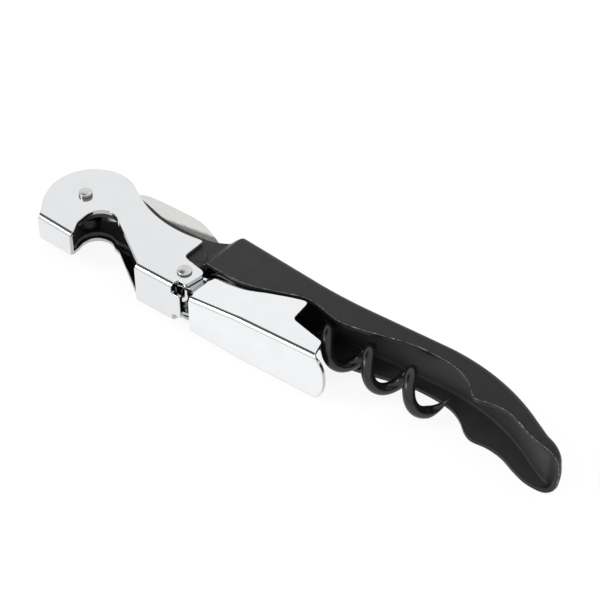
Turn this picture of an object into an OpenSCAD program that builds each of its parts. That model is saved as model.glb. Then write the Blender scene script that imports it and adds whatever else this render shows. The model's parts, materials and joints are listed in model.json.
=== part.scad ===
// Double-hinged lever corkscrew, folded shut and lying on its side.
// +Z is up through its thickness, +X runs from the head rivet to the tail and +Y points to the spine.
// The drawing below has its zero close to the head rivet, half way through the thickness. seat() moves
// every piece so that the origin is the middle of the whole object's footprint, at the bottom.

/* [Handle] */
// Outer thickness of the raised part of the handle
handle_w = 11; // [10.8:0.1:11.4]
// Outer thickness of the neck that passes between the lever's cheeks
neck_w = 7.1; // [6.9:0.1:7.2]
// Thickness of the handle's sheet
handle_t = 1; // [0.9:0.05:1.1]
// Distance from the head rivet to the end of the tail
tail_x = 110.2; // [109.8:0.1:111]
// Radius of the fold between the cheeks and the spine
spine_fold = 1.5; // [1.2:0.1:1.8]

/* [Lever] */
// Outer thickness of the first stage
first_w = 9; // [8.9:0.05:9.2]
// Outer thickness of the second stage at its free end
second_w = 10.5; // [10.3:0.1:10.6]
// Thickness of the sheet of both lever stages
lever_t = 0.8; // [0.7:0.05:0.8]
// Outer radius of the folds along the lever's web
lever_fold = 1.1; // [0.9:0.1:1.2]
// Radius of the crown cap notch
notch_r = 3.55; // [3.4:0.05:3.6]

/* [Rivets] */
// Radius of every rivet's shank
shank_r = 1.2; // [1.1:0.05:1.3]
// Radius of the heads of the head rivet and the lever rivet
head_r = 1.5; // [1.5:0.05:1.6]
// Radial clearance of a piece that turns on a rivet
running = 0.05; // [0.03:0.01:0.08]

/* [Worm] */
// Outer diameter of the coil
coil_d = 8; // [7.6:0.1:8]
// Diameter of the wire
wire_d = 2.3; // [2.1:0.1:2.4]
// Length of one turn
pitch = 9.2; // [8.9:0.05:9.3]
// Number of turns, from the shank to the tip
turns = 4.8; // [4.6:0.1:4.8]

/* [Blade] */
// Thickness of the blade
blade_t = 1.2; // [1:0.1:1.4]

/* [Hidden] */
$fn = 64;

// Rivet centres
head_pin = [-0.4, 0.5];
lever_pin = [30.2, -3.5];
worm_pin = [29, 2.2];

// Gap between flat faces that slide past each other, and the fit of a rivet fixed in the handle
side_gap = 0.05;
fixed_gap = 0.02;

// Half thicknesses, outside and inside
handle_o = handle_w / 2;
handle_i = handle_o - handle_t;
neck_o = neck_w / 2;
neck_i = neck_o - handle_t;
first_o = first_w / 2;
first_i = first_o - lever_t;
ear_o = first_i - 0.15;
ear_i = ear_o - lever_t;
second_o = second_w / 2;

// Spine of the handle: down to a shallow waist, up again, an arc down, a short flare and the closed end
spine_start = [31, 10.95];
spine_dip = -1.8;
waist_x = 51;
waist_r = 100;
waist_steps = 3;
spine_rise = 5.5;
bend_x = 79.5;
bend_r = 40;
spine_fall = -27;
flare_x = 105.5;
flare_r = 5;
flare = -18;
tail_fold = 1.1;
tail_corner_r = 3.4;
shoulder_x = 31.4;
ramp = 2;

// Lever
circle_c = [0.77, 0.83];
circle_r = 8.93;
notch_c = [7.7, -3.7];
web_tilt = 3;
beak_y = -10.1;
beak_tab_bottom = -1.5;
split_x = 8.5;
relief_x = 30.9;
relief_y = -6.1;
tongue_o = 2.6;

far = 200;

// ---- outline helpers ----

// Points of an arc of radius r about c, from angle a to angle b
function arc(c, r, a, b, n = 24) = [for (i = [0:n])
    let (t = a + (b - a) * i / n)
    c + r * [cos(t), sin(t)]];

// Smooth curve through all of the points
function curve(p, n = 6) = concat([for (i = [0:len(p) - 2], j = [0:n - 1])
    curve_at(p[max(i - 1, 0)], p[i], p[i + 1], p[min(i + 2, len(p) - 1)], j / n)], [p[len(p) - 1]]);
function curve_at(a, b, c, d, t) = 0.5 * (2 * b + (c - a) * t + (2 * a - 5 * b + 4 * c - d) * t * t
    + (3 * b - a - 3 * c + d) * t * t * t);

// Polygon corner p with the neighbours a and b, rounded to radius r
function corner(a, p, b, r, n = 6) =
    let (u = (a - p) / norm(a - p), v = (b - p) / norm(b - p), half = acos(u * v) / 2,
         c = p + (u + v) / norm(u + v) * r / sin(half),
         s = p + u * r / tan(half) - c, e = p + v * r / tan(half) - c,
         a0 = atan2(s[1], s[0]), turn = atan2(s[0] * e[1] - s[1] * e[0], s * e))
    arc(c, r, a0, a0 + turn, n);

// Turns one half of a slab up and the other half down
module both_sides() {
    children();
    mirror([0, 0, 1]) children();
}

// Moves a piece from the drawing's zero to the object's own origin
module seat() {
    translate([-(tail_x + circle_c[0] - circle_r) / 2, -(blade_top + beak_y) / 2, handle_o]) children();
}

// Cylinder along Z through the height from -half to half
module rod(r, half) {
    cylinder(r = r, h = 2 * half, center = true);
}

// ---- handle ----

waist_start = spine_start + (waist_x - spine_start[0]) * [1, tan(spine_dip)];
waist_centre = waist_start + waist_r * [-sin(spine_dip), cos(spine_dip)];
waist_end = waist_centre + waist_r * [sin(spine_rise), -cos(spine_rise)];
bend_start = waist_end + (bend_x - waist_end[0]) * [1, tan(spine_rise)];
bend_centre = bend_start + bend_r * [sin(spine_rise), -cos(spine_rise)];
bend_end = bend_centre + bend_r * [-sin(spine_fall), cos(spine_fall)];
flare_start = bend_end + (flare_x - bend_end[0]) * [1, tan(spine_fall)];
flare_corner = flare_start + flare_r * tan((flare - spine_fall) / 2) * [cos(spine_fall), sin(spine_fall)];
flare_centre = flare_start + flare_r * [-sin(spine_fall), cos(spine_fall)];
flare_end = flare_centre + flare_r * [sin(flare), -cos(flare)];
tail_start_x = tail_x - tail_fold * (1 + sin(flare));
tail_start = [tail_start_x, flare_end[1] + (tail_start_x - flare_end[0]) * tan(flare)];
tail_centre = tail_start - tail_fold * [-sin(flare), cos(flare)];

// Spine line at depth d below the outer surface, from the shoulder to the tail
function spine(d) = concat(
    [spine_start + [0, -d]],
    arc(waist_centre, waist_r + d, spine_dip - 90, spine_rise - 90, 12),
    arc(bend_centre, bend_r - d, 90 + spine_rise, 90 + spine_fall),
    arc(flare_centre, flare_r + d, spine_fall - 90, flare - 90, 4),
    arc(tail_centre, tail_fold - d, 90 + flare, 0, 6));

neck_spine = [[7.7, 7.7], [11.3, 7], [15.4, 6.2], [19.7, 6.15], [25.3, 6.7], [28.4, 7.7], [31, 9.4]];
// Free edge of the cheeks, from the tail to the neck. The lower cheek hangs a little deeper near the tail.
belly_tail = [[tail_x, 2.9], [107.4, 2.6], [103.5, 3.4], [98.5, 5.2], [94.5, 5.1], [91.4, 4.3],
              [87.9, 7], [83.7, 8.3]];
low_tail = [[tail_x, 2.9], [107.4, 2.5], [104.4, 2.4], [101.3, 3.2], [97.8, 4.45], [94.5, 4.75], [91.4, 4.3],
            [89.4, 5.05], [86.9, 6.9], [83.7, 8.15]];
belly = [[78.6, 8.3], [74.1, 7.6], [65, 4.7], [60.7, 4], [56.2, 4.8], [53, 4.95], [50.1, 3.95], [46.6, 2.35],
         [42, 0.65], [38.2, 0.2], [34, 0.1], [26, 0], [20, -2.3], [14, -1.2], [11.5, 0.3]];

// Round end of the neck, inside the lever's head
neck_c = [0.3, 0.9];
neck_r = 7.4;

// Side view of the handle
module handle_outline(tail) {
    polygon(concat(neck_spine, spine(0), curve(concat(tail, belly)),
        arc(notch_c, notch_r + 0.35, 60, 185, 12), arc(neck_c, neck_r, 300, 70)));
}

// The sheet seen from above: neck, ramp, raised cheek, and round the corner into the end wall
module handle_sheet(o, i, depth) {
    corner_r = tail_corner_r - depth;
    polygon(concat([[-20, 0], [-20, o], [shoulder_x - ramp / 2, o], [shoulder_x + ramp / 2, i]],
        arc([tail_x - depth - corner_r, i - corner_r], corner_r, 90, 0, 12), [[tail_x - depth, 0]]));
}

module upright(y0 = -20, y1 = 30) {
    translate([0, y1, 0]) rotate([90, 0, 0]) linear_extrude(y1 - y0) children();
}

// Everything inside the sheet's outer (depth 0) or inner (depth = sheet) surface
module handle_block(depth) {
    both_sides() upright() handle_sheet(neck_o - depth, handle_o - depth, depth);
}

// Section of the tool that rounds an outer edge to radius r: the edge is at zero, the solid at minus x and y
module edge_tool(r) {
    difference() {
        translate([-r, -r]) square(r + 0.6);
        translate([-r, -r]) circle(r = r);
    }
}

// Tool that rounds the straight edge from a to b, where the solid lies below and to the right of the edge
module straight_edge(a, b, r) {
    d = b - a;
    translate(a) rotate([0, -atan2(d[2], norm([d[0], d[1]])), atan2(d[1], d[0])]) rotate([90, 0, 90])
        translate([0, 0, -0.2]) linear_extrude(norm(d) + 0.4) edge_tool(r);
}

// Point on the edge between the spine and the upper cheek
function on_cheek(p) = [p[0], p[1], handle_o];

// Rounds the outer edge between the spine and one cheek
module spine_round() {
    waist = arc(waist_centre, waist_r, spine_dip - 90, spine_rise - 90, waist_steps);
    straight_edge(on_cheek(spine_start - [1, tan(spine_dip)]), on_cheek(waist_start), spine_fold);
    for (i = [0:waist_steps - 1]) straight_edge(on_cheek(waist[i]), on_cheek(waist[i + 1]), spine_fold);
    straight_edge(on_cheek(waist_end), on_cheek(bend_start), spine_fold);
    translate(on_cheek(bend_centre)) rotate([0, 0, 90 + spine_fall])
        rotate_extrude(angle = spine_rise - spine_fall) translate([bend_r, 0]) edge_tool(spine_fold);
    straight_edge(on_cheek(bend_end), on_cheek(flare_corner), spine_fold);
    straight_edge(on_cheek(flare_corner), on_cheek(flare_end + [1, tan(flare)]), spine_fold);
}

module handle_pins_bore() {
    translate(head_pin) rod(shank_r + fixed_gap, handle_w);
    translate(worm_pin) rod(shank_r + fixed_gap, handle_w);
}

module handle() {
    color([0.13, 0.13, 0.14]) seat() difference() {
        intersection() {
            handle_block(0);
            union() {
                linear_extrude(handle_o) handle_outline(belly_tail);
                mirror([0, 0, 1]) linear_extrude(handle_o) handle_outline(low_tail);
            }
        }
        // hollow below the spine wall
        intersection() {
            handle_block(handle_t);
            linear_extrude(handle_w, center = true) polygon(concat([[-20, 30], [shoulder_x - 0.4, 30],
                [shoulder_x - 0.4, spine_start[1] - handle_t]], spine(handle_t),
                [[tail_x - handle_t, -20], [-20, -20]]));
        }
        both_sides() spine_round();
        handle_pins_bore();
    }
}

// ---- rivets, spacers and washers ----

// Rivet with a head of radius head_r from grip to top on both sides
module rivet(grip, top) {
    rod(shank_r, grip + side_gap + 0.1);
    both_sides() translate([0, 0, grip + side_gap]) {
        cylinder(r = head_r, h = (top - grip - side_gap) * 0.7);
        translate([0, 0, (top - grip - side_gap) * 0.7])
            cylinder(r1 = head_r, r2 = head_r * 0.8, h = (top - grip - side_gap) * 0.3);
    }
}

module head_rivet() {
    color([0.72, 0.72, 0.7]) seat() translate(head_pin) rivet(first_o, handle_o - 0.1);
}

module lever_rivet() {
    color([0.82, 0.83, 0.84]) seat() translate(lever_pin) rivet(first_o, first_o + 0.7);
}

module worm_rivet() {
    color([0.1, 0.1, 0.11]) seat() translate(worm_pin) rod(shank_r, neck_o);
}

spacer_r = 2;
washer_r = 2.4;

// Pair of rings round a pin, filling the gap from inner to outer on both sides
module rings(r, inner, outer) {
    both_sides() translate([0, 0, inner + side_gap]) difference() {
        cylinder(r = r, h = outer - inner - 2 * side_gap);
        translate([0, 0, -1]) cylinder(r = shank_r + fixed_gap, h = outer - inner + 2);
    }
}

module worm_spacers() {
    color([0.55, 0.56, 0.58]) seat() translate(worm_pin) rings(spacer_r, wire_d / 2, neck_i);
}

module knife_washers() {
    color([0.55, 0.56, 0.58]) seat() translate(head_pin) rings(washer_r, blade_t / 2, neck_i);
}

module lever_sleeve() {
    color([0.8, 0.81, 0.83]) seat() translate(lever_pin) difference() {
        rod(spacer_r, ear_i - side_gap);
        rod(shank_r + fixed_gap, handle_w);
    }
}

// ---- first stage of the lever ----

first_lug = concat(corner([28.4, -0.5], [33.4, -1.2], [33, -6.6], 1.2), [[33, -6.6], [33, -9]]);

module first_outline() {
    polygon(concat(
        arc(circle_c, circle_r, 208, 56, 36),
        arc([19.5, 29.45], 25, 243, 283, 16),
        corner([24, 4.8], [26.7, 5.4], [27, 0.2], 0.3),
        corner([26.7, 5.4], [27, 0.2], [28.4, -0.5], 0.6), first_lug,
        [[21.5, -9], [21.5, -7.4], [10.7, -1.3]],
        arc(notch_c, notch_r, 35, 180, 24),
        [[4.5, -6.4], [5.3, -7.7], [6.1, -9], [6.1, beak_y], [-2.9, beak_y],
         [-3.9, -8], [-5.1, -6.7], [-6.1, -5.4]]));
}

// Bar along X with its two lower edges round: the surface of a folded channel
module folded(half, r) {
    rotate([0, 90, 0]) linear_extrude(far, center = true) polygon(concat(
        [[half, 40], [-half, 40]],
        arc([-half + r, r], r, 180, 270, 8),
        arc([half - r, r], r, 270, 360, 8)));
}

// Main channel of the first stage, right of the notch
module first_channel(depth) {
    translate([27, -8.25 + depth, 0]) rotate([0, 0, web_tilt])
        folded(first_o - depth, max(lever_fold - depth, 0.1));
}

// Head of the first stage, whose web is only the beak's tab
module head_channel(depth) {
    translate([0, beak_y + depth, 0]) folded(first_o - depth, max(lever_fold - depth, 0.1));
}

// The lower cheek's beak stops short, and the tab stops above it
module beak_trim() {
    translate([-10, beak_y - 1, -far / 2]) cube([20, 2.9, far / 2 + beak_tab_bottom]);
}

module first_bores() {
    translate(head_pin) rod(shank_r + running, handle_w);
    translate(lever_pin) rod(shank_r + running, handle_w);
}

module first_stage_lever() {
    color([0.85, 0.86, 0.88]) seat() difference() {
        intersection() {
            linear_extrude(first_w, center = true) first_outline();
            union() {
                intersection() {
                    difference() {
                        first_channel(0);
                        first_channel(lever_t);
                    }
                    translate([split_x, -50, -50]) cube(100);
                }
                intersection() {
                    difference() {
                        head_channel(0);
                        head_channel(lever_t);
                    }
                    translate([split_x - 100, -50, -50]) cube(100);
                }
            }
        }
        beak_trim();
        web_relief();
        first_bores();
    }
}

// Cuts beside the end of the web, which leave a tongue of web and two lugs
module web_relief() {
    both_sides() translate([relief_x, relief_y - 5, tongue_o]) cube(5);
}

// ---- second stage of the lever ----

module second_outline() {
    polygon(concat(
        arc(lever_pin, 3, 290, 60, 24),
        corner([33, -1.6], [35.1, -0.95], [38.2, -0.2], 0.8),
        curve([[38.2, -0.2], [42, 0.2], [46.6, 1.9], [50.1, 3.5], [52.6, 4.5]]),
        corner([52.6, 4.5], [53.6, 4.6], [54.4, -0.5], 0.5),
        corner([53.5, 4.45], [54.4, -0.5], [62.4, -1.85], 0.5),
        corner([54.4, -0.5], [62.4, -1.85], [63.3, -4.6], 0.4),
        [[63.3, -4.4], [66, -4.2], [66, -5.7], [35.6, -8.45], [35.6, -6.9], [33.6, -5.6]]));
}

// The sheet seen from above: ear, joggle, cheek, and the rounded end of the web's tongue
module second_sheet(depth) {
    polygon(concat([[20, 0], [20, ear_o - depth]], [for (p = second_plan) p - [0, depth]],
        curve([second_plan[3] - [0, depth], [65.1, 3.9], [65.9, 2], [66, 0]])));
}

// Half width of the sheet along X: ears, joggle and cheeks
second_plan = [[33.7, ear_o], [35.7, 4.2], [47, 5.1], [63.4, second_o]];
second_web = [35.6, -8.4];
second_web_tilt = 5.1;

// Everything inside the sheet's outer (depth 0) or inner (depth = sheet) surface
module second_channel(depth) {
    intersection() {
        both_sides() upright() second_sheet(depth);
        translate([second_web[0], second_web[1] + depth, 0]) rotate([0, 0, second_web_tilt])
            translate([-50, 0, -50]) cube([150, 50, 100]);
    }
}

module second_stage_lever() {
    color([0.85, 0.86, 0.88]) seat() difference() {
        intersection() {
            linear_extrude(20, center = true) second_outline();
            difference() {
                second_channel(0);
                second_channel(lever_t);
            }
        }
        translate(lever_pin) rod(shank_r + running, handle_w);
        both_sides() second_round();
    }
}

// Rounds the outer edge between the web and one cheek
module second_round() {
    edge = [for (p = [[35, 4.15], second_plan[2], [66, second_o]]) [p[0], -web_y(p[0]), p[1]]];
    for (i = [0, 1]) mirror([0, 1, 0]) straight_edge(edge[i], edge[i + 1], lever_fold);
}

// Height of the web's outer face at x
function web_y(x) = second_web[1] + (x - second_web[0]) * tan(second_web_tilt);

// ---- worm ----

coil_r = (coil_d - wire_d) / 2;
worm_tilt = 1.4;
tip_angle = 345;
coil_start = 11.7;
shank_end = 4;
ring_steps = 20;
sides = 12;

// Centre line of the wire at n turns after the shank
function wire_at(n) =
    let (ease = min(1, n / 0.6), r = coil_r * ease * ease * (3 - 2 * ease), a = start_angle + 360 * n)
    [coil_start + pitch * n, r * cos(a), r * sin(a)];
// Radius of the wire, which tapers to the tip over the last quarter turn
function wire_r(n) = wire_d / 2 * min(1, 0.12 + 4 * (turns - n));
start_angle = tip_angle - 360 * turns;

function unit(v) = v / norm(v);

module worm_wire() {
    n = round(turns * ring_steps);
    line = concat([[2.2, 0, 0], [shank_end, 0, 0], [8, 0, 0]], [for (i = [0:n]) wire_at(i / ring_steps)]);
    size = concat([wire_d / 2, wire_d / 2, wire_d / 2], [for (i = [0:n]) wire_r(i / ring_steps)]);
    last = len(line) - 1;
    rings = [for (i = [0:last])
        let (t = unit(line[min(i + 1, last)] - line[max(i - 1, 0)]), u = unit(cross(t, [0, 0.3, 1])),
             v = cross(t, u))
        for (k = [0:sides - 1]) line[i] + size[i] * (cos(360 * k / sides) * u + sin(360 * k / sides) * v)];
    walls = [for (i = [0:last - 1], k = [0:sides - 1])
        [i * sides + k, (i + 1) * sides + k, (i + 1) * sides + (k + 1) % sides, i * sides + (k + 1) % sides]];
    polyhedron(rings, concat(walls, [[for (k = [0:sides - 1]) k]],
        [[for (k = [0:sides - 1]) last * sides + sides - 1 - k]]));
}

module worm() {
    color([0.05, 0.05, 0.055]) seat() translate(worm_pin) rotate([0, 0, worm_tilt]) difference() {
        union() {
            rotate_extrude() intersection() {
                translate([shank_r + 1.25, 0]) circle(r = wire_d / 2 + 0.1);
                translate([0, -wire_d / 2]) square([10, wire_d]);
            }
            worm_wire();
        }
        rod(shank_r + running, 5);
    }
}

// ---- knife ----

blade_back = [[3.5, 8], [3.6, 10], [4.6, 11.4], [8, 12.1], [13, 12.5], [17.6, 12.7], [20.4, 12.3],
              [23.4, 11.3], [25.4, 10.6], [27, 9.9]];
blade_top = max([for (p = curve(blade_back)) p[1]]);
tang_r = 3.4;
serrations = 8;
serration_depth = 0.45;
edge_start = [11.5, 6.2];
edge_end = [26.2, 9.2];

// Scalloped line from a to b
function scallops(a, b, count, depth, n = 6) =
    let (u = unit(b - a))
    [for (i = [0:count * n]) a + (b - a) * i / (count * n) + [-u[1], u[0]] * depth * sin(180 * (i % n) / n)];

module knife_blade() {
    color([0.83, 0.82, 0.8]) seat() difference() {
        linear_extrude(blade_t, center = true) polygon(concat(
            arc(head_pin, tang_r, 10, -190), [[-2.4, 5.2]],
            curve(blade_back), [[27.1, 9.6]], scallops(edge_end, edge_start, serrations, -serration_depth)));
        translate(head_pin) rod(shank_r + running, handle_w);
    }
}

handle();
head_rivet();
worm_rivet();
worm_spacers();
knife_washers();
first_stage_lever();
lever_rivet();
lever_sleeve();
second_stage_lever();
worm();
knife_blade();
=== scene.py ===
"""Looks of the double-hinged lever corkscrew. Folded sheets are built from their flat patterns, the wire is
swept along its own helix, and the rivets are turned profiles. Lengths are millimetres in the part's drawing
frame, whose zero is close to the head rivet. finished() turns them into the row frame."""
import json
import math

import bpy
import numpy as np
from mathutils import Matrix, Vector, geometry


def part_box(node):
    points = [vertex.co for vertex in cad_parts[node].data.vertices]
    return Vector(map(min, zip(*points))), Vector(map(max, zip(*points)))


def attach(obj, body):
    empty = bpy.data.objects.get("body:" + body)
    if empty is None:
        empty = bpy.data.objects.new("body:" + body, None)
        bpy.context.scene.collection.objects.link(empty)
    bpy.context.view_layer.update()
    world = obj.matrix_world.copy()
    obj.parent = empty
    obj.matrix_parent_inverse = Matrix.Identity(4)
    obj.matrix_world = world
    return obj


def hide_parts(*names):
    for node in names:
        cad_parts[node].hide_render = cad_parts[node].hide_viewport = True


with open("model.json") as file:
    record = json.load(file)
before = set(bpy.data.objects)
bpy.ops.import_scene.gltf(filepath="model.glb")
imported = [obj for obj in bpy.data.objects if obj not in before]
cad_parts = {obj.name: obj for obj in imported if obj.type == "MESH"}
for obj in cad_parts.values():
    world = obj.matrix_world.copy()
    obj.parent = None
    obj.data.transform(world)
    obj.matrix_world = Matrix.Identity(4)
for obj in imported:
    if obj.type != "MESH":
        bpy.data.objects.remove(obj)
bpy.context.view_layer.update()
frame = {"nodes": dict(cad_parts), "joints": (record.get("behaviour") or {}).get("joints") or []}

MM = 0.001
QUARTER = math.pi / 2

# Sizes that repeat part.scad
head_pin = np.array([-0.4, 0.5])
handle_t = 1.0
handle_o = 5.5
neck_o = 3.55
lever_t = 0.8
lever_fold = 1.1
first_o = 4.5
ear_o = 3.55
second_o = 5.25
shank_r = 1.2
running = 0.05
notch_c = np.array([7.7, -3.7])
notch_r = 3.55

# Sizes of the drawn pieces that differ from part.scad
tail_more = 0.3
low_notch_c = np.array([5.7, -3.3])
low_notch_r = 3.5
first_web_start = 21.8

# Places from the frame
joint_place = {j["name"]: np.array(j["pos_m"]) / MM for j in frame["joints"]}
ORIGIN = joint_place["lever_hinge"] - [*head_pin, 0]
lever_pin = (joint_place["second_stage_hinge"] - ORIGIN)[:2]
worm_pin = (joint_place["worm_hinge"] - ORIGIN)[:2]
tail_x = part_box("handle")[1].x / MM - ORIGIN[0] + tail_more


# ---- outlines in the plane of a sheet ----

def arc(c, r, a, b, n=24):
    """Points on a circle from angle a to angle b, in degrees."""
    t = np.radians(np.linspace(a, b, n + 1))
    return np.c_[c[0] + r * np.cos(t), c[1] + r * np.sin(t)]


def curve(points, n=8):
    """Smooth line through all of the points."""
    p = np.array(points, float)
    p = np.vstack([p[0], p, p[-1]])
    out = []
    for i in range(len(p) - 3):
        a, b, c, d = p[i:i + 4]
        for t in np.arange(n) / n:
            out.append(0.5 * (2 * b + (c - a) * t + (2 * a - 5 * b + 4 * c - d) * t**2
                              + (3 * b - a - 3 * c + d) * t**3))
    return np.vstack([out, p[-2]])


def even(parts, step, soften):
    """One line through the parts. Its points are a step apart, and its corners are eased soften times."""
    line = np.vstack(parts)
    d = np.r_[0, np.cumsum(np.linalg.norm(np.diff(line, axis=0), axis=1))]
    n = max(4, int(round(d[-1] / step)))
    at = np.linspace(0, d[-1], n + 1)
    out = np.c_[np.interp(at, d, line[:, 0]), np.interp(at, d, line[:, 1])]
    for _ in range(soften):
        out[1:-1] = 0.5 * out[1:-1] + 0.25 * (out[:-2] + out[2:])
    return out


def unit(v):
    """Vectors made one unit long."""
    return v / np.maximum(np.linalg.norm(v, axis=-1, keepdims=True), 1e-12)


def left_of(line, closed=False):
    """Unit direction to the left at each point of a line."""
    if closed:
        along = np.roll(line, -1, axis=0) - np.roll(line, 1, axis=0)
    else:
        along = np.gradient(line, axis=0)
    along = unit(along)
    return np.c_[-along[:, 1], along[:, 0]]


def inside(points, loop):
    """Which points lie inside a closed loop."""
    x, y = points[:, 0:1], points[:, 1:2]
    a, b = loop, np.roll(loop, -1, axis=0)
    crosses = (a[:, 1] > y) != (b[:, 1] > y)
    rise = np.where(b[:, 1] == a[:, 1], 1e-12, b[:, 1] - a[:, 1])
    at = a[:, 0] + (y - a[:, 1]) * (b[:, 0] - a[:, 0]) / rise
    return (crosses & (x < at)).sum(axis=1) % 2 == 1


# ---- folded sheets ----

SEAM_BOW = 0.001
EDGE_CLEARANCE = 0.14
SLIVER = 1e-6
HOLE_SIDES = 40
RIM_STEPS = 3
CORNER_STEP = 2


def bowed(seam):
    """A seam with a hair's bow, so that a row of points on one line makes no slivers."""
    along = np.linspace(-1, 1, len(seam))
    return seam - left_of(seam) * SEAM_BOW * (1 - along[:, None]**2)


def on_sheet(points, border, openings):
    """Which points lie inside the border and outside the openings."""
    keep = inside(points, border)
    for loop in openings:
        keep &= ~inside(points, loop)
    return keep


def flat_mesh(border, openings, grid):
    """Triangles over a flat pattern, from its border, its openings and a grid of inner points. Gives the
    points, the triangles, and for each border and opening point its number among the points."""
    known = np.vstack([border] + openings)
    edges, start = [], 0
    for loop in [border] + openings:
        edges += [(start + i, start + (i + 1) % len(loop)) for i in range(len(loop))]
        start += len(loop)
    grid = grid[on_sheet(grid, border, openings)]
    near = np.array([np.min(np.hypot(*(known - g).T)) for g in grid])
    given = np.vstack([known, grid[near > EDGE_CLEARANCE]])
    got = geometry.delaunay_2d_cdt([Vector(p) for p in given], edges, [], 1, 1e-7, True)
    points, tris = np.array([list(p) for p in got[0]]), np.array(got[2])
    number = {source: i for i, sources in enumerate(got[3]) for source in sources}
    a, b, c = (points[tris[:, k]] for k in range(3))
    keep = on_sheet((a + b + c) / 3, border, openings)
    keep &= np.abs((b - a)[:, 0] * (c - a)[:, 1] - (b - a)[:, 1] * (c - a)[:, 0]) > SLIVER
    return points, tris[keep], number


def rim_ring(loop, way, turn, inner_side, place, thickness, rim):
    """One ring of the rounding along a cut edge: its points and normals. The loop is the edge in the pattern
    and way points into the sheet. The angle turn starts at 0 on the outer face, or on the inner one."""
    base = loop + way * rim * (1 - math.sin(turn))
    points, face = place(*base.T)
    ahead, _ = place(*(base + way * 1e-3).T)
    out = unit(points - ahead)
    full = thickness(*base.T)[:, None]
    depth = np.minimum(rim * (1 - math.cos(turn)), full * 0.45)
    if inner_side:
        return points - face * (full - depth), unit(-face * math.cos(turn) + out * math.sin(turn))
    return points - face * depth, unit(face * math.cos(turn) + out * math.sin(turn))


def band(ring, next_ring, closed):
    """Faces between two rings of point numbers."""
    size = len(ring)
    pairs = [(i, (i + 1) % size) for i in range(size if closed else size - 1)]
    return [(ring[j], ring[i], next_ring[i], next_ring[j]) for i, j in pairs]


def sheet(free, seam, holes, place, thickness, rim, cols, rows, row_zero):
    """One half of a folded sheet: (points, normals, faces, marks). The marks give each point's side, which is
    -1 on the inner face, 0 on the outer face and 1 on the cut edge, and 1 for the cut edge's outer corner.
    free is the pattern's cut edge with the sheet on its left, and seam the stretch where the other half joins
    on, or None. holes are (centre, radius), and rim is the rounding's radius. place(u, v) gives a point on
    the outer face and its normal, and thickness(u, v) the thickness there. cols and rows are the lines of the
    inner points, the rows counted from row_zero(u)."""
    loops = [free] + [arc(c, r, 360, 0, HOLE_SIDES)[:-1] for c, r in holes]
    inward = [left_of(loop, i > 0 or seam is None) for i, loop in enumerate(loops)]
    if seam is not None:
        inward[0][0] = unit(seam[-1] - free[0])
        inward[0][-1] = unit(seam[0] - free[-1])
    inset = [loop + way * rim for loop, way in zip(loops, inward)]
    border = inset[0] if seam is None else np.vstack([inset[0], seam])
    u, v = [g.ravel() for g in np.meshgrid(cols, rows, indexing="ij")]
    flat, tris, number = flat_mesh(border, inset[1:], np.c_[u, v + row_zero(u)])

    outer, face = place(*flat.T)
    count = len(outer)
    points, normals = [outer, outer - face * thickness(*flat.T)[:, None]], [face, -face]
    marks = [np.zeros((count, 2)), np.tile([-1.0, 0.0], (count, 1))]
    faces = [tuple(f) for f in tris] + [tuple(count + f[::-1]) for f in tris]
    total, start = 2 * count, 0
    for k, (loop, way) in enumerate(zip(loops, inward)):
        size = len(loop)
        closed = k > 0 or seam is None
        previous = [number[start + i] for i in range(size)]
        last = [count + i for i in previous]
        start += len(border) if k == 0 else size
        down = [(False, step) for step in range(1, RIM_STEPS + 1)]
        up = [(True, step) for step in range(RIM_STEPS, 0, -1)]
        for inner_side, step in down + up:
            ring_points, ring_normals = rim_ring(loop, way, QUARTER * step / RIM_STEPS, inner_side, place,
                                                 thickness, rim)
            points.append(ring_points)
            normals.append(ring_normals)
            corner = float(step == CORNER_STEP and not inner_side)
            marks.append(np.tile([1.0, corner], (size, 1)))
            ring = list(range(total, total + size))
            faces += band(previous, ring, closed)
            previous = ring
            total += size
        faces += band(previous, last, closed)
    return np.vstack(points), np.vstack(normals), faces, np.vstack(marks)


def constant(value):
    """A thickness that is the same everywhere."""
    return lambda u, v: np.full(len(u), value)


def mirrored(half):
    """The same half on the other side of the middle plane."""
    points, normals, faces, marks = half
    flip = np.array([1, 1, -1])
    return points * flip, normals * flip, [f[::-1] for f in faces], marks


def joined(*halves):
    """Halves joined into one mesh along the points they share. Points close to the middle plane go on it."""
    close = 2e-3
    points = np.vstack([h[0] for h in halves])
    points[np.abs(points[:, 2]) < close, 2] = 0
    normals = np.vstack([h[1] for h in halves])
    marks = np.vstack([h[3] for h in halves])
    _, first, back = np.unique(np.round(points, 4) + 0.0, axis=0, return_index=True, return_inverse=True)
    back = back.ravel()
    faces, start = [], 0
    for h in halves:
        for f in h[2]:
            g = [int(back[start + i]) for i in f]
            g = [a for a, b in zip(g, g[1:] + g[:1]) if a != b]
            if len(set(g)) > 2:
                faces.append(g)
        start += len(h[0])
    total = np.zeros((len(first), 3))
    np.add.at(total, back, normals)
    return points[first], unit(total), faces, marks[first]


def finished(name, shape, body, nodes, material):
    points, normals, faces, marks = shape
    mesh = bpy.data.meshes.new(name)
    mesh.from_pydata(((points + ORIGIN) * MM).tolist(), [], [tuple(f) for f in faces])
    mesh.polygons.foreach_set("use_smooth", [True] * len(mesh.polygons))
    for mark, values in zip(("side", "corner"), marks.T.astype(np.float32)):
        mesh.attributes.new(mark, "FLOAT", "POINT").data.foreach_set("value", values)
    mesh.validate()
    mesh.normals_split_custom_set_from_vertices(normals.tolist())
    mesh.materials.append(material)
    obj = bpy.data.objects.new(name, mesh)
    bpy.context.scene.collection.objects.link(obj)
    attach(obj, body)
    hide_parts(*nodes)


def smoothstep(t):
    """Smooth rise from 0 to 1 as t goes from 0 to 1, held outside."""
    t = np.clip(t, 0, 1)
    return t * t * (3 - 2 * t)


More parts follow.
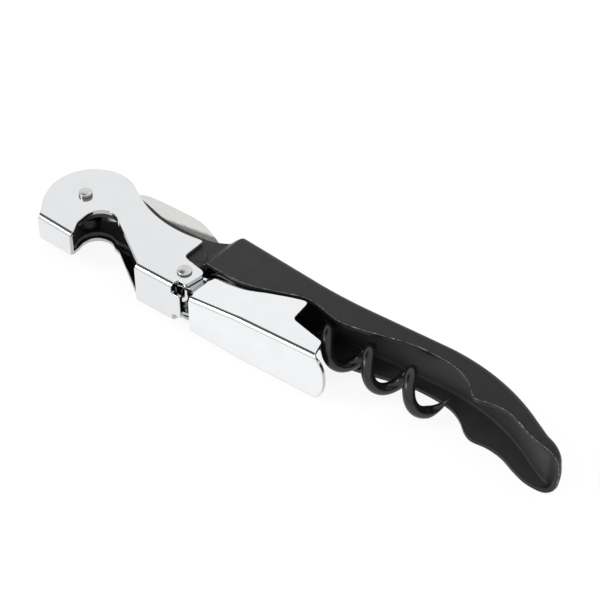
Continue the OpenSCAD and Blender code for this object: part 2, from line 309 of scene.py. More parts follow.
def steps(*stops):
    """Rising values from (start, end, step) stretches."""
    return np.unique(np.round(np.concatenate([np.arange(*stop) for stop in stops]), 4))


def folded_place(web_y, half_width, fold):
    """place() of a channel: cheek, fold of radius fold, and web, with the web's outer face at web_y(u)."""
    def point(u, v):
        s = v - web_y(u) - fold
        h = half_width(u, s)
        turn = np.clip(-s / fold, 0, QUARTER)
        past = np.maximum(-s - QUARTER * fold, 0)
        y = web_y(u) + fold - fold * np.sin(turn) + np.maximum(s, 0)
        z = h - fold + fold * np.cos(turn) - past
        return np.c_[u, y, z]

    def place(u, v):
        d = 2e-3
        du = point(u + d, v + web_y(u + d) - web_y(u)) - point(u - d, v + web_y(u - d) - web_y(u))
        dv = point(u, v + d) - point(u, v - d)
        return point(u, v), unit(np.cross(du, dv))
    return place


# ---- materials ----

class Nodes:
    """Short way to build a node tree."""

    def __init__(self, tree):
        self.tree = tree

    def give(self, socket, value):
        """Links the socket to an output, or sets it to a fixed value."""
        if hasattr(value, "is_output"):
            self.tree.links.new(value, socket)
        else:
            socket.default_value = value

    def add(self, kind, **inputs):
        """A new node with its inputs linked or set. An underscore stands for a space."""
        node = self.tree.nodes.new(kind)
        for key, value in inputs.items():
            self.give(node.inputs[key.replace("_", " ")], value)
        return node

    def ramp(self, value, stops):
        """Colour ramp; stops are (position, grey or colour)."""
        node = self.add("ShaderNodeValToRGB", Fac=value)
        ramp = node.color_ramp
        while len(ramp.elements) < len(stops):
            ramp.elements.new(0.5)
        for element, (at, colour) in zip(ramp.elements, stops):
            element.position = at
            rgb = colour if isinstance(colour, tuple) else (colour,) * 3
            element.color = (*rgb, 1)
        return node.outputs["Color"]

    def math(self, how, a, b, kind="ShaderNodeMath"):
        """A number worked out from a and b."""
        node = self.tree.nodes.new(kind)
        node.operation = how
        self.give(node.inputs[0], a)
        self.give(node.inputs[1], b)
        return node.outputs["Value"]

    def mix(self, factor, a, b, blend="MIX"):
        """Colour a blended with colour b by the factor."""
        node = self.tree.nodes.new("ShaderNodeMix")
        node.data_type = "RGBA"
        node.blend_type = blend
        inputs = {socket.identifier: socket for socket in node.inputs}
        self.give(inputs["Factor_Float"], factor)
        for key, colour in (("A_Color", a), ("B_Color", b)):
            self.give(inputs[key], (*colour, 1) if isinstance(colour, tuple) else colour)
        return next(socket for socket in node.outputs if socket.identifier == "Result_Color")


class Material(Nodes):
    """A material's node tree round its shader."""

    def __init__(self, name):
        self.mat = bpy.data.materials.new(name)
        self.mat.use_nodes = True
        super().__init__(self.mat.node_tree)
        self.shader = self.tree.nodes["Principled BSDF"]
        self.where = self.add("ShaderNodeTexCoord").outputs["Object"]

    def put(self, value, socket):
        """Gives one of the shader's sockets an output or a fixed value."""
        self.give(self.shader.inputs[socket], value)

    def stretched(self, scale):
        """Object coordinates in millimetres, stretched per axis."""
        node = self.add("ShaderNodeMapping", Vector=self.where, Scale=[s / MM for s in scale])
        return node.outputs["Vector"]

    def noise(self, scale, detail=3.0, rough=0.55):
        """Noise with grains about 1/scale millimetres across."""
        sizes = scale if isinstance(scale, tuple) else (scale,) * 3
        node = self.add("ShaderNodeTexNoise", Vector=self.stretched(sizes), Scale=1.0, Detail=detail,
                        Roughness=rough)
        return node.outputs["Fac"]

    def mark(self, name):
        """One of the marks that sheet() puts on the points."""
        node = self.add("ShaderNodeAttribute")
        node.attribute_name = name
        return node.outputs["Fac"]

    def facing(self):
        """Height part of the surface normal: 1 upward, -1 downward."""
        node = self.add("ShaderNodeSeparateXYZ", Vector=self.add("ShaderNodeNewGeometry").outputs["Normal"])
        return node.outputs["Z"]

    def scaled(self, value, low, high, start, end):
        """Value from low..high turned into start..end, and held there."""
        node = self.add("ShaderNodeMapRange", Value=value, From_Min=low, From_Max=high, To_Min=start,
                        To_Max=end)
        return node.outputs["Result"]

    def shaded(self, colour, *factors):
        """A colour times the factors."""
        total = factors[0]
        for f in factors[1:]:
            total = self.math("MULTIPLY", total, f)
        return self.mix(total, (0, 0, 0), colour)

    def bump(self, *layers):
        """Bump from (height, strength, distance in millimetres) layers."""
        normal = None
        for height, strength, distance in layers:
            node = self.add("ShaderNodeBump", Height=height, Strength=strength, Distance=distance * MM)
            if normal is not None:
                self.give(node.inputs["Normal"], normal)
            normal = node.outputs["Normal"]
        self.put(normal, "Normal")


def chrome(name, tint):
    """Bright plating with faint smudges and hairlines. Inner faces and undersides are darkened as painted
    shade, and cut edges are darker.
    """
    n = Material(name)
    smudge = n.ramp(n.noise(0.22, 4.0), [(0.3, tuple(c * 0.965 for c in tint)), (0.7, tint)])
    # Painted shade: the channel's inner faces darkened to 0.22 of the plating's colour.
    inside = n.scaled(n.mark("side"), -1, 0, 0.22, 1)
    cut = n.scaled(n.mark("side"), 0.3, 1, 1, 0.62)
    # Painted shade: faces turned downward darkened to 0.35 of the plating's colour.
    painted_underside_shade = n.scaled(n.facing(), -0.6, -0.2, 0.35, 1)
    n.put(n.shaded(smudge, inside, cut, painted_underside_shade), "Base Color")
    n.put(n.ramp(n.noise(0.5, 5.0), [(0.35, 0.05), (0.75, 0.13)]), "Roughness")
    n.put(1.0, "Metallic")
    n.bump((n.noise(0.16, 1.0), 0.25, 0.07), (n.noise((0.5, 14.0, 14.0), 2.0), 0.04, 0.004))
    return n.mat


def coating(name):
    """Satin black coating with a fine orange peel, worn to grey along the outer corner of the cut edges. The
    outside has painted shade toward the tail, and the inner faces have painted light along the open stretch
    with painted shade toward the head and at the end wall."""
    n = Material(name)
    patch = n.ramp(n.noise(0.5, 4.0, 0.6), [(0.5, 0.0), (0.64, 1.0)])
    fine = n.ramp(n.noise(2.2, 3.0, 0.6), [(0.4, 0.0), (0.58, 1.0)])
    wear = n.math("MULTIPLY", n.mark("corner"), n.math("MULTIPLY", n.math("MAXIMUM", patch, 0.3), fine))
    body = n.ramp(n.noise(0.35, 5.0), [(0.3, (0.0110, 0.0113, 0.012)), (0.75, (0.0150, 0.0153, 0.016))])
    along = n.add("ShaderNodeSeparateXYZ", Vector=n.where).outputs["X"]
    # Painted shade: the outside darkened toward the tail.
    body = n.shaded(body, n.scaled(along, -10 * MM, 45 * MM, 1, 0.05))
    inside = n.scaled(n.mark("side"), -1, -0.2, 1, 0)
    # Painted shade: the inner faces darkened toward the head.
    painted_shade_toward_head = n.scaled(along, -8 * MM, 22 * MM, 0.1, 1)
    # Painted shade: the inner faces darkened near the end wall.
    painted_end_wall_shade = n.scaled(along, 56 * MM, 57 * MM, 1, 0.25)
    painted_inner_light = n.math("MULTIPLY", painted_shade_toward_head, painted_end_wall_shade)
    # Painted light: the inner faces made brighter than the outside along the open stretch.
    inner = n.shaded(n.ramp(n.noise(0.3, 3.0), [(0.3, 0.030), (0.7, 0.038)]), painted_inner_light)
    n.put(n.mix(wear, n.mix(inside, body, inner), (0.7, 0.7, 0.7)), "Base Color")
    satin = n.ramp(n.noise(1.4, 5.0), [(0.3, 0.36), (0.72, 0.5)])
    n.put(n.math("MAXIMUM", satin, n.math("MULTIPLY", inside, 0.62)), "Roughness")
    n.put(0.36, "Specular IOR Level")
    n.bump((n.noise(4.5, 2.0), 0.1, 0.01), (n.noise(0.35, 2.0), 0.1, 0.04))
    return n.mat


def worm_coating(name):
    """Glossy black coating on the wire."""
    n = Material(name)
    black_tones = [(0.35, (0.006, 0.006, 0.0065)), (0.8, (0.012, 0.012, 0.0125))]
    n.put(n.ramp(n.noise(0.8, 4.0), black_tones), "Base Color")
    n.put(n.ramp(n.noise(2.0, 4.0), [(0.3, 0.16), (0.75, 0.34)]), "Roughness")
    n.bump((n.noise(3.2, 3.0), 0.35, 0.03), (n.noise(0.7, 2.0), 0.3, 0.08))
    return n.mat


def blade_steel(name):
    """Ground stainless steel, its grain along the blade, and its tang darkened near to black as painted
    shade.
    """
    n = Material(name)
    grain = n.noise((0.35, 16.0, 16.0), 4.0, 0.65)
    ground = n.ramp(grain, [(0.3, (0.72, 0.71, 0.69)), (0.7, (0.80, 0.79, 0.775))])
    away = n.math("DISTANCE", n.where, joint_place["knife_hinge"] * MM, "ShaderNodeVectorMath")
    # Painted shade: the steel darkened round the knife's pivot.
    painted_tang_shade = n.scaled(away, 4.5 * MM, 6.5 * MM, 0.03, 1)
    n.put(n.shaded(ground, painted_tang_shade), "Base Color")
    n.put(n.ramp(grain, [(0.3, 0.24), (0.7, 0.36)]), "Roughness")
    n.put(1.0, "Metallic")
    n.bump((grain, 0.12, 0.01))
    return n.mat


def rivet_steel(name, tint=(0.72, 0.72, 0.71)):
    """Peened steel: dimples from the hammer, a duller finish, and sides darkened as painted shade."""
    n = Material(name)
    dents = n.noise(2.2, 2.0)
    metal = n.ramp(n.noise(1.6, 4.0), [(0.3, tuple(c * 0.8 for c in tint)), (0.7, tint)])
    # Painted shade: faces that turn away from upward darkened to 0.3 of the steel's colour.
    n.put(n.shaded(metal, n.scaled(n.facing(), 0.1, 0.7, 0.3, 1)), "Base Color")
    n.put(n.ramp(dents, [(0.3, 0.18), (0.7, 0.38)]), "Roughness")
    n.put(1.0, "Metallic")
    n.bump((dents, 0.4, 0.1), (n.noise(9.0, 3.0), 0.2, 0.02))
    return n.mat


plating_first = chrome("chrome_first_stage", (0.785, 0.798, 0.812))
plating_second = chrome("chrome_second_stage", (0.87, 0.885, 0.895))
black = coating("satin_black_coating")
wire_black = worm_coating("gloss_black_coating")
steel = blade_steel("blade_steel")
rivet_metal = rivet_steel("rivet_steel")


# ---- handle ----

def plan_path():
    """The sheet's outer face seen from above, from the neck round the tail to the middle plane, with its
    corners smoothed: arc length, x, z."""
    start_x, shoulder_x, ramp, corner_r, bulge = -12.0, 31.4, 2.0, 3.4, 0.25
    c = np.array([tail_x - bulge - corner_r, handle_o - corner_r])
    end = np.linspace(1, 0, 12)[1:]
    flat_end = np.c_[tail_x - bulge * end**2, c[1] * end]
    line = np.vstack([[start_x, neck_o], [shoulder_x - ramp / 2, neck_o], [shoulder_x + ramp / 2, handle_o],
                      arc(c, corner_r, 90, 0, 16), flat_end])
    whole = np.vstack([line, (line * [1, -1])[-2::-1]])
    d = np.r_[0, np.cumsum(np.linalg.norm(np.diff(whole, axis=0), axis=1))]
    step, window = 0.05, 15
    at = np.arange(0, d[-1], step)
    dense = np.c_[np.interp(at, d, whole[:, 0]), np.interp(at, d, whole[:, 1])]
    padded = np.pad(dense, ((window // 2, window // 2), (0, 0)), mode="edge")
    dense = np.c_[[np.convolve(padded[:, k], np.ones(window) / window, "valid") for k in (0, 1)]].T
    half = dense[dense[:, 1] >= 0]
    half = np.vstack([half, [half[-1, 0], 0]])
    length = np.r_[0, np.cumsum(np.linalg.norm(np.diff(half, axis=0), axis=1))]
    return length, half[:, 0], half[:, 1]


spine_r = 1.5
path_a, path_x, path_z = plan_path()
a_end = path_a[-1]
turn_x, turn_z = np.gradient(path_x, path_a), np.gradient(path_z, path_a)
turn_x[-1], turn_z[-1] = 0, -1


def spine_y(x):
    """Height of the spine's outer face: down to a waist, up, an arc down, a flare and the straight end."""
    start, waist_x, waist_r = (31.0, 10.95), 51.0, 100.0
    bend_x, bend_r, flare_x, flare_r = 79.5, 40.0, 105.5, 5.0
    dip, rise, fall, flare = (math.radians(d) for d in (-1.8, 5.5, -27.0, -18.0))
    waist = (waist_x, start[1] + (waist_x - start[0]) * math.tan(dip))
    wx, wy = waist[0] - waist_r * math.sin(dip), waist[1] + waist_r * math.cos(dip)
    w_end = (wx + waist_r * math.sin(rise), wy - waist_r * math.cos(rise))
    bend_y = w_end[1] + (bend_x - w_end[0]) * math.tan(rise)
    cx, cy = bend_x + bend_r * math.sin(rise), bend_y - bend_r * math.cos(rise)
    ex, ey = cx - bend_r * math.sin(fall), cy + bend_r * math.cos(fall)
    flare_y = ey + (flare_x - ex) * math.tan(fall)
    fx, fy = flare_x - flare_r * math.sin(fall), flare_y + flare_r * math.cos(fall)
    gx, gy = fx + flare_r * math.sin(flare), fy - flare_r * math.cos(flare)
    x = np.asarray(x, float)
    parts = [(x < waist_x, start[1] + (x - start[0]) * math.tan(dip)),
             (x < w_end[0], wy - np.sqrt(np.maximum(waist_r**2 - (x - wx)**2, 0))),
             (x < bend_x, w_end[1] + (x - w_end[0]) * math.tan(rise)),
             (x < ex, cy + np.sqrt(np.maximum(bend_r**2 - (x - cx)**2, 0))),
             (x < flare_x, ey + (x - ex) * math.tan(fall)),
             (x < gx, fy - np.sqrt(np.maximum(flare_r**2 - (x - fx)**2, 0)))]
    return np.select([p[0] for p in parts], [p[1] for p in parts], gy + (x - gx) * math.tan(flare))


def spine_fold(a):
    """Radius of the fold between wall and spine, which tightens round the tail."""
    return spine_r - 0.4 * smoothstep((a - (a_end - 8)) / 5)


def handle_zero(a):
    """Height at which the wall starts to fold into the spine."""
    return spine_y(np.interp(a, path_a, path_x)) - spine_fold(a)


def handle_place(a, v):
    """place() of the handle: the wall up to handle_zero(a), the fold, and the spine."""
    x, z = np.interp(a, path_a, path_x), np.interp(a, path_a, path_z)
    out = unit(np.c_[-np.interp(a, path_a, turn_z), np.zeros(len(a)), np.interp(a, path_a, turn_x)])
    r = spine_fold(a)
    s = v - handle_zero(a)
    turn = np.clip(s / r, 0, QUARTER)
    past = np.maximum(s - QUARTER * r, 0)
    back = r * (1 - np.cos(turn))
    px, pz = x - out[:, 0] * back, z - out[:, 2] * back - past
    y = np.where(s < 0, v, spine_y(px) - r * (1 - np.sin(turn)))
    slope = (spine_y(px + 0.05) - spine_y(px - 0.05)) / 0.1
    roof = unit(np.c_[-slope, np.ones(len(a)), np.zeros(len(a))])
    normal = unit(out * np.cos(turn)[:, None] + roof * np.sin(turn)[:, None])
    return np.c_[px, y, pz], normal


def handle_roof_edge(a):
    """Pattern height at which the spine reaches the middle plane."""
    z = np.interp(a, path_a, path_z)
    out_z = np.interp(a, path_a, turn_x)
    r = spine_fold(a)
    return handle_zero(a) + QUARTER * r + np.maximum(z - r * np.clip(out_z, 0, 1), 0)


def along_path(line):
    """An outline in x, y turned into arc length along the sheet and y."""
    line = np.array(line, float)
    return np.c_[np.interp(line[:, 0], path_x, path_a), line[:, 1]]


belly = [[11.5, 0.3], [14, -1.2], [20, -2.3], [26, 0], [34, 0.1], [38.2, 0.2], [42, 0.65], [46.6, 2.35],
         [50.1, 3.95], [53, 4.95], [56.2, 4.8], [60.7, 4], [65, 4.7], [74.1, 7.6], [78.6, 8.3]]
belly_tail = [[83.7, 8.3], [87.9, 7], [91.4, 4.3], [94.5, 5.1], [98.5, 5.2], [103.5, 3.4], [107.4, 2.6],
              [109.9, 2.85]]
low_tail = [[83.7, 8.15], [86.9, 6.9], [89.4, 5.05], [91.4, 4.3], [94.5, 4.75], [97.8, 4.45], [101.3, 3.2],
            [104.4, 2.4], [107.4, 2.5], [109.9, 2.85]]
neck_edge = curve([[31, 9.4], [28.4, 7.7], [25.3, 6.7], [19.7, 6.15], [15.4, 6.2], [11.3, 7], [7.7, 7.7]])


def handle_half(tail, notch, notch_edge, turn_end, notch_start):
    """One half of the handle. Its belly ends in the given tail, and the neck's round end stops at turn_end
    degrees. Behind the lever's notch the edge is an arc of radius notch_edge from notch_start degrees."""
    front_x, front_y, end_y, notch_end = 31, 9.4, 2.9, 60
    neck_c, neck_r, neck_start = [0.3, 0.9], 7.4, 70
    a_front = float(np.interp(front_x, path_x, path_a))
    front = np.array([[a_front, handle_roof_edge(np.array([a_front]))[0]], [a_front, front_y]])
    rest = along_path(np.vstack([neck_edge, arc(neck_c, neck_r, neck_start, turn_end, 40),
                                 arc(notch, notch_edge, notch_start, notch_end), curve(belly + tail)]))
    free = even([front, rest, [[a_end, end_y]]], 0.3, 3)
    up = handle_zero(np.array([a_end]))[0] + QUARTER * spine_fold(np.array([a_end]))[0]
    wall = np.c_[np.full(30, a_end), np.linspace(end_y, up, 30)][1:]
    tail_length = 9
    cols = np.r_[np.linspace(a_end, a_end - tail_length, 40)[1:],
                 np.linspace(a_end - tail_length, a_front, 100)[1:-1]]
    seam = np.vstack([wall, np.c_[cols, handle_roof_edge(cols)]])
    inner = np.r_[np.arange(3, a_front, 0.9), np.arange(a_front - 2.2, a_front + 3, 0.2), cols[::-1]]
    rows = np.r_[np.arange(-24, -1.2, 0.8), np.arange(-1, 0, 0.25), np.linspace(0, QUARTER * spine_r, 11),
                 np.arange(3.1, 7, 0.9)]
    pins = along_path([head_pin, worm_pin])
    return sheet(free, seam, [(pin, shank_r + 0.02) for pin in pins], handle_place, constant(handle_t), 0.2,
                 np.unique(np.round(inner, 3)), rows, handle_zero)


upper = handle_half(belly_tail, notch_c, notch_r + 0.35, turn_end=300, notch_start=185)
lower = handle_half(low_tail, low_notch_c, low_notch_r + 0.5, turn_end=289, notch_start=204)
finished("handle_shell", joined(upper, mirrored(lower)), "body", ["handle"], black)


# ---- first stage of the lever ----

lever_rim = 0.16
fold_rows = np.linspace(-QUARTER * lever_fold, 0, 13)
first_web_end = 33.0


def first_web(u):
    """Outer face of the web: the tilted main web, or the beak's tab left of the notch."""
    web_x, web_y, tilt, tab_y, split_x = 27, -8.25, math.radians(3), -10.1, 8.5
    return np.where(u < split_x, tab_y, web_y + (u - web_x) * math.tan(tilt))


def first_width(u, s):
    """Half width, the same everywhere."""
    return np.full(len(u), first_o)


def first_low(x, z):
    """Pattern height of the web's point at x, a height z short of the middle plane."""
    reach = QUARTER * lever_fold + first_o - lever_fold
    return first_web(np.array([x]))[0] + lever_fold - reach + z


def beak_with_tab():
    """Cut edge from the beak round its tab and the notch to the web."""
    left, right, front, back = -2.9, 6.1, 1.1, 0.8
    return [[[-3.9, -8.0], [left, -9.6], [left, first_low(left, -front)], [right, first_low(right, -back)],
             [right, -9.0], [5.3, -7.7], [4.5, -6.4]],
            arc(notch_c, notch_r, 180, 35, 36), [[10.7, -1.3], [first_web_start, -7.4]]]


def beak_without_tab():
    """The same stretch of the lower half, which has no tab and a notch further forward."""
    return [[[-4.75, -7.1], [2.3, -7.1], [2.8, -6.85], [2.7, -6.2]],
            arc(low_notch_c, low_notch_r, 205, 50, 36), [[9.6, -0.95], [first_web_start, -8.0]]]


def first_half(beak):
    """One half of the first stage, its cut edge going from the web's end round to the web's start."""
    tongue_z, relief_x, relief_y = 2.6, 30.9, -6.1
    end = first_web_end
    edge = [[[end, first_low(end, 0)], [end, first_low(end, tongue_z)]],
            [[relief_x, first_low(relief_x, tongue_z)], [relief_x, relief_y], [end, relief_y]],
            [[33.4, -2.0], [33.1, -1.4], [32.5, -1.05], [28.4, -0.5], [27.4, -0.25]],
            [[27.0, 0.3], [26.75, 5.1], [26.4, 5.35]],
            arc([19.5, 29.45], 25, 283, 243), arc([0.77, 0.83], 8.93, 56, 208, 60),
            [[-6.1, -5.4], [-5.1, -6.7]], *beak, [[first_web_start, first_low(first_web_start, 0)]]]
    cols = np.linspace(first_web_start, end, 24)[1:-1]
    seam = bowed(np.array([[x, first_low(x, 0)] for x in cols]))
    rows = np.r_[np.arange(-8.4, -1.9, 0.6), fold_rows, np.arange(0.5, 21, 0.9)]
    inner = np.r_[np.arange(-9, 20, 0.9), cols]
    holes = [(head_pin, shank_r + running), (lever_pin, shank_r + running)]
    return sheet(even(edge, 0.22, 3), seam, holes, folded_place(first_web, first_width, lever_fold),
                 constant(lever_t), lever_rim, inner, rows, lambda u: first_web(u) + lever_fold)


upper, lower = first_half(beak_with_tab()), first_half(beak_without_tab())
finished("first_stage_sheet", joined(upper, mirrored(lower)), "first_stage", ["first_stage_lever"],
         plating_first)


# ---- second stage of the lever ----

def second_web(u):
    """Outer face of the tilted web."""
    web_x, web_y, tilt = 35.6, -8.4, math.radians(5.1)
    return web_y + (u - web_x) * math.tan(tilt)


def second_width(u, s):
    """Half width: ears, joggle and cheeks, with the cheek set in a little above the fold."""
    wide = np.interp(u, [20, 35.7, 47, 63.4, 70], [4.2, 4.2, 5.1, second_o, second_o])
    joggle_x, joggle_length, crease_depth = 33.7, 2.0, 0.04
    out = ear_o + (wide - ear_o) * smoothstep((u - joggle_x) / joggle_length)
    crease = smoothstep((s - 0.9) / 0.5) * smoothstep((u - 35.5) / 3)
    return out - crease_depth * crease


def second_zero(u):
    """Height at which the cheek starts to fold into the web."""
    return second_web(u) + lever_fold


def second_low(x, z):
    """Pattern height of the web's point at x, a height z short of the middle plane."""
    reach = QUARTER * lever_fold + second_width(np.array([x]), np.array([0.0]))[0] - lever_fold
    return second_zero(x) - reach + z


def second_half():
    """One half of the second stage, its cut edge going from the web's end round to the web's start."""
    web_start, web_end = 35.6, 66
    edge = [[[web_end, second_low(web_end, 0)], [65.9, second_low(65.9, 1.6)], [65.5, second_low(65.5, 3.0)],
             [64.9, second_low(64.9, 4.0)], [64.2, second_zero(64.2) - 1.1], [63.6, second_zero(63.6) - 0.3]],
            [[63.3, -4.4], [62.5, -2.1], [62.1, -1.8], [54.9, -0.6], [54.4, -0.1], [53.75, 4.2], [53.4, 4.6]],
            curve([[52.6, 4.5], [50.1, 3.5], [46.6, 1.9], [42, 0.2], [38.2, -0.2]]),
            [[35.8, -0.75], [35.1, -0.98], [34.4, -1.2], [33, -1.6]], arc(lever_pin, 3, 60, 290, 40),
            [[33.6, -5.6], [web_start, -6.9], [web_start, second_low(web_start, 0)]]]
    cols = np.r_[steps((35.8, 37.5, 0.2), (37.5, 64, 0.8)), np.linspace(64, 65.8, 7)]
    seam = bowed(np.array([[x, second_low(x, 0)] for x in cols]))
    rows = np.r_[np.arange(-7, -1.9, 0.6), fold_rows, np.arange(0.3, 2.0, 0.12), np.arange(2.3, 13, 0.8)]
    inner = np.unique(np.round(np.r_[steps((27, 33.4, 0.8), (33.4, 36.4, 0.14)), cols], 3))
    holes = [(lever_pin, shank_r + running)]
    return sheet(even(edge, 0.22, 3), seam, holes, folded_place(second_web, second_width, lever_fold),
                 constant(lever_t), lever_rim, inner, rows, second_zero)


upper = second_half()
finished("second_stage_sheet", joined(upper, mirrored(upper)), "second_stage", ["second_stage_lever"],
         plating_second)


# ---- knife ----

def knife():
    """The blade: a round tang, a bellied back, and a scalloped cutting edge with its faces ground in."""
    half_t, tang_r = 0.6, 3.4
    ground, ground_top, ground_width, ground_start = 0.45, 2.4, 2.2, 9.5
    back = curve([[3.5, 8], [3.6, 10], [4.6, 11.4], [8, 12.1], [13, 12.5], [17.6, 12.7], [20.4, 12.3],
                  [23.4, 11.3], [25.4, 10.6], [27, 9.9]])
    count, depth = 8, 0.45
    tip, heel = np.array([26.2, 9.2]), np.array([11.5, 6.2])
    along = unit(heel - tip)
    t = np.linspace(0, 1, count * 8 + 1)
    bite = depth * np.abs(np.sin(math.pi * count * t))
    edge = tip + (heel - tip) * t[:, None] + np.array([-along[1], along[0]]) * -bite[:, None]
    outline = np.vstack([arc(head_pin, tang_r, -190, 10, 40), edge[::-1], [[27.1, 9.6]], back[::-1],
                         [[-2.4, 5.2]]])
    outline = even([outline, outline[:1]], 0.2, 1)[:-1]

    def grind(u, v):
        """How far each face is ground in near the cutting edge."""
        slope = (tip[1] - heel[1]) / (tip[0] - heel[0])
        above = v - heel[1] - (u - heel[0]) * slope
        return ground * smoothstep((ground_top - above) / ground_width) * smoothstep((u - ground_start) / 2)

    def place(u, v):
        """Points of the upper face and their outward directions."""
        d = 0.02
        gu = (grind(u + d, v) - grind(u - d, v)) / (2 * d)
        gv = (grind(u, v + d) - grind(u, v - d)) / (2 * d)
        return np.c_[u, v, half_t - grind(u, v)], unit(np.c_[gu, gv, np.ones(len(u))])

    def thickness(u, v):
        return 2 * (half_t - grind(u, v))

    holes = [(head_pin, shank_r + running)]
    cols, rows = np.arange(-5, 28, 0.6), np.arange(-5, 14, 0.5)
    return sheet(outline, None, holes, place, thickness, 0.12, cols, rows, lambda u: np.zeros(len(u)))


finished("knife_blade_ground", knife(), "knife", ["knife_blade"], steel)


# ---- rivets ----

def turned(profile, centre, sides=48):
    """A closed turned shape from (radius, height) points, from the lower middle to the upper middle."""
    profile = np.array(profile, float)
    angles = np.linspace(0, 2 * math.pi, sides, endpoint=False)
    rings = profile[1:-1]
    points = [[centre[0], centre[1], profile[0][1]]]
    for r, z in rings:
        points += [[centre[0] + r * math.cos(t), centre[1] + r * math.sin(t), z] for t in angles]
    points.append([centre[0], centre[1], profile[-1][1]])
    faces = [(0, 1 + (i + 1) % sides, 1 + i) for i in range(sides)]
    for k in range(len(rings) - 1):
        a, b = 1 + k * sides, 1 + (k + 1) * sides
        faces += [(a + i, a + (i + 1) % sides, b + (i + 1) % sides, b + i) for i in range(sides)]
    last, top = 1 + (len(rings) - 1) * sides, len(points) - 1
    faces += [(last + i, last + (i + 1) % sides, top) for i in range(sides)]
    return np.array(points), faces


def with_normals(points, faces):
    """Adds area-weighted point normals and empty marks."""
    total = np.zeros_like(points)
    for f in faces:
        p = points[list(f)]
        n = np.cross(p[1] - p[0], p[2] - p[0]) + (np.cross(p[2] - p[0], p[3] - p[0]) if len(f) > 3 else 0)
        np.add.at(total, list(f), n)
    return points, unit(total), faces, np.zeros((len(points), 2))


def rivet_profile(grip, top, head, dome):
    """Shank and two heads of radius head, each with a chamfered rim and a crown that rises by dome."""
    edge = top - dome
    crown_r = head - 0.34
    side = [(head - 0.04, grip), (head, grip + 0.05), (head, edge - 0.22), (head - 0.05, edge - 0.12),
            (head - 0.16, edge - 0.04), (crown_r, edge)]
    crown = [(r, edge + dome * (1 - (r / crown_r)**2)) for r in (0.85, 0.65, 0.42, 0.2)]
    upper_part = [(shank_r, 0.6), (shank_r, grip - 0.02)] + side + crown + [(0, top)]
    return [(r, -z) for r, z in upper_part[::-1]] + upper_part


def rivet(node, pin, body, top, head, dome):
    """A rivet along the axis at pin, its head of radius head ending top above the middle plane."""
    shape = turned(rivet_profile(first_o + running, top, head, dome), pin)
    finished(node + "_peened", with_normals(*shape), body, [node], rivet_metal)


rivet("head_rivet", head_pin, "body", top=5.4, head=1.34, dome=0.06)
rivet("lever_rivet", lever_pin, "first_stage", top=5.2, head=1.45, dome=0.16)


# ---- worm ----

def worm_line():
    """Middle line of the wire and its radius along it: the eye round the rivet, the shank, the coil that
    widens from it, and the tapered point."""
    wire_r, coil_outer_r, pitch, turns, coil_start, tip_angle = 1.15, 4.0, 9.2, 4.8, 11.7, 345
    eye_r, points_a_turn, widening = shank_r + 1.25, 48, 0.6
    eye = arc([0, 0], eye_r, 62, 322, 40)
    lead = curve([eye[-1], [2.55, -1.0], [3.35, -0.3], [4.6, 0]])[1:]
    shank = [[x, 0] for x in np.arange(5.2, coil_start, 0.6)]
    flat = np.vstack([eye, lead, shank])
    n = np.linspace(0, turns, int(turns * points_a_turn) + 1)
    r = (coil_outer_r - wire_r) * smoothstep(n / widening)
    a = np.radians(tip_angle - 360 * turns + 360 * n)
    coil = np.c_[coil_start + pitch * n, r * np.cos(a), r * np.sin(a)]
    taper = np.minimum(1, 0.1 + 4 * (turns - n))
    radius = wire_r * np.r_[np.ones(len(flat)), taper]
    return np.vstack([np.c_[flat, np.zeros(len(flat))], coil]), radius


def tube(line, radius, sides=20):
    """A closed tube along a line, with a pushed-out middle at each end: points and faces."""
    start_cap = 0.12
    along = unit(np.gradient(line, axis=0))
    up = np.array([0.0, 0.0, 1.0])
    points, faces = [], []
    following = [(k, (k + 1) % sides) for k in range(sides)]
    for i, (p, d, r) in enumerate(zip(line, along, radius)):
        up = unit(up - d * np.dot(up, d))
        across = np.cross(d, up)
        for k in range(sides):
            t = 2 * math.pi * k / sides
            points.append(p + r * (math.cos(t) * up + math.sin(t) * across))
        if i:
            a, b = (i - 1) * sides, i * sides
            faces += [(a + k2, b + k2, b + k, a + k) for k, k2 in following]
    first, last = len(points), len(points) - sides
    points += [line[0] - along[0] * start_cap, line[-1] + along[-1] * radius[-1]]
    faces += [(k2, k, first) for k, k2 in following]
    faces += [(first + 1, last + k, last + k2) for k, k2 in following]
    return np.array(points), faces


def worm():
    """The wire, tilted a little on its rivet as in the photo."""
    tilt = math.radians(1.4)
    points, faces = tube(*worm_line())
    c, s = math.cos(tilt), math.sin(tilt)
    tilted = points @ np.array([[c, s, 0], [-s, c, 0], [0, 0, 1]])
    return with_normals(tilted + [*worm_pin, 0], faces)


finished("worm_wire", worm(), "worm", ["worm"], wire_black)


# ---- CAD pieces that stay: rings, sleeve and the neck rivet ----

def dress(node, material, bevel):
    """A CAD node keeps its shape, and gets softened edges and its material."""
    obj = frame["nodes"][node]
    obj.data.materials.clear()
    obj.data.materials.append(material)
    weld = obj.modifiers.new("weld", "WELD")
    weld.merge_threshold = 0.002 * MM
    soften = obj.modifiers.new("soften", "BEVEL")
    soften.width = bevel * MM
    soften.segments = 2
    soften.angle_limit = math.radians(40)
    soften.harden_normals = True


ring_steel = rivet_steel("ring_steel", (0.62, 0.63, 0.65))
dress("worm_spacers", ring_steel, 0.08)
dress("knife_washers", black, 0.08)
dress("lever_sleeve", plating_first, 0.08)
dress("worm_rivet", black, 0.04)


# ---- stage: floor, surround and camera ----

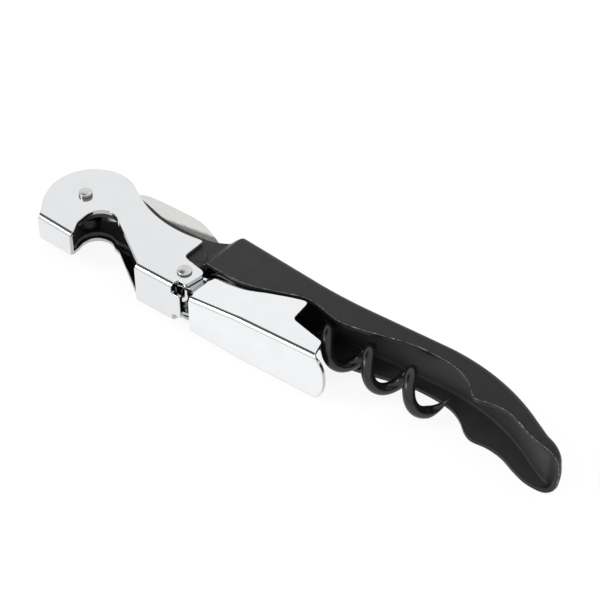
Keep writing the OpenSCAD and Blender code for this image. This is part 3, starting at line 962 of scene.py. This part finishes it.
def floor():
    """A pale floor that glows a little, so that it looks white."""
    mesh = bpy.data.meshes.new("floor")
    reach = 1.5
    corners = [(-reach, -reach, 0), (reach, -reach, 0), (reach, reach, 0), (-reach, reach, 0)]
    mesh.from_pydata(corners, [], [(0, 1, 2, 3)])
    obj = bpy.data.objects.new("floor", mesh)
    obj.location.z = -0.1 * MM
    bpy.context.scene.collection.objects.link(obj)
    n = Material("pale_floor")
    n.put((0.16, 0.16, 0.16, 1), "Base Color")
    n.put(0.9, "Roughness")
    n.put(0.0, "Specular IOR Level")
    n.put((1, 1, 1, 1), "Emission Color")
    n.put(0.88, "Emission Strength")
    mesh.materials.append(n.mat)


def surround():
    """White studio surround with a grey horizon and one dark patch high on the left."""
    world = bpy.data.worlds.new("studio")
    bpy.context.scene.world = world
    world.use_nodes = True
    n = Nodes(world.node_tree)
    way = n.add("ShaderNodeTexCoord").outputs["Generated"]

    def toward(direction):
        """1 in the given direction, less away from it."""
        return n.math("DOT_PRODUCT", way, direction, "ShaderNodeVectorMath")

    patch = Vector((-0.49, 0.02, 0.872)).normalized()
    dark_patch = n.ramp(toward(patch), [(0.0, 1.0), (0.912, 1.0), (0.935, 0.14), (1.0, 0.10)])
    horizon = n.ramp(toward((0, 0, 1)), [(0.0, 0.45), (0.03, 0.35), (0.10, 0.45), (0.16, 1.0)])
    back = n.tree.nodes["Background"]
    n.give(back.inputs["Color"], n.mix(1, dark_patch, horizon, "MULTIPLY"))
    n.give(back.inputs["Strength"], 1.0)


def camera():
    """Lens and place that repeat the reference view: azimuth, elevation and distance to the aim point."""
    azimuth, elevation, distance = math.radians(41.0), math.radians(41.5), 330.0
    aim = np.array([48.3, 8.4, 0.0]) + ORIGIN
    back = np.array([math.sin(azimuth) * math.cos(elevation), -math.cos(azimuth) * math.cos(elevation),
                     math.sin(elevation)])
    data = bpy.data.cameras.new("camera")
    data.sensor_width = 36.0
    data.lens = 106.2
    data.clip_start, data.clip_end = 0.01, 20
    obj = bpy.data.objects.new("camera", data)
    obj.location = Vector((aim + back * distance) * MM)
    obj.rotation_mode = "QUATERNION"
    obj.rotation_quaternion = Vector(-back).to_track_quat("-Z", "Y")
    bpy.context.scene.collection.objects.link(obj)
    bpy.context.scene.camera = obj


def key_light():
    """One large soft light from the front left, for the highlights on the folds and the wire."""
    data = bpy.data.lights.new("key", "AREA")
    data.shape = "RECTANGLE"
    data.size, data.size_y = 0.3, 0.2
    data.energy = 1.6
    obj = bpy.data.objects.new("key", data)
    obj.location = (-0.42, -0.5, 0.56)
    obj.rotation_mode = "QUATERNION"
    obj.rotation_quaternion = (-Vector(obj.location)).to_track_quat("-Z", "Y")
    bpy.context.scene.collection.objects.link(obj)


floor()
surround()
camera()
key_light()
bpy.context.scene.view_settings.view_transform = "Standard"
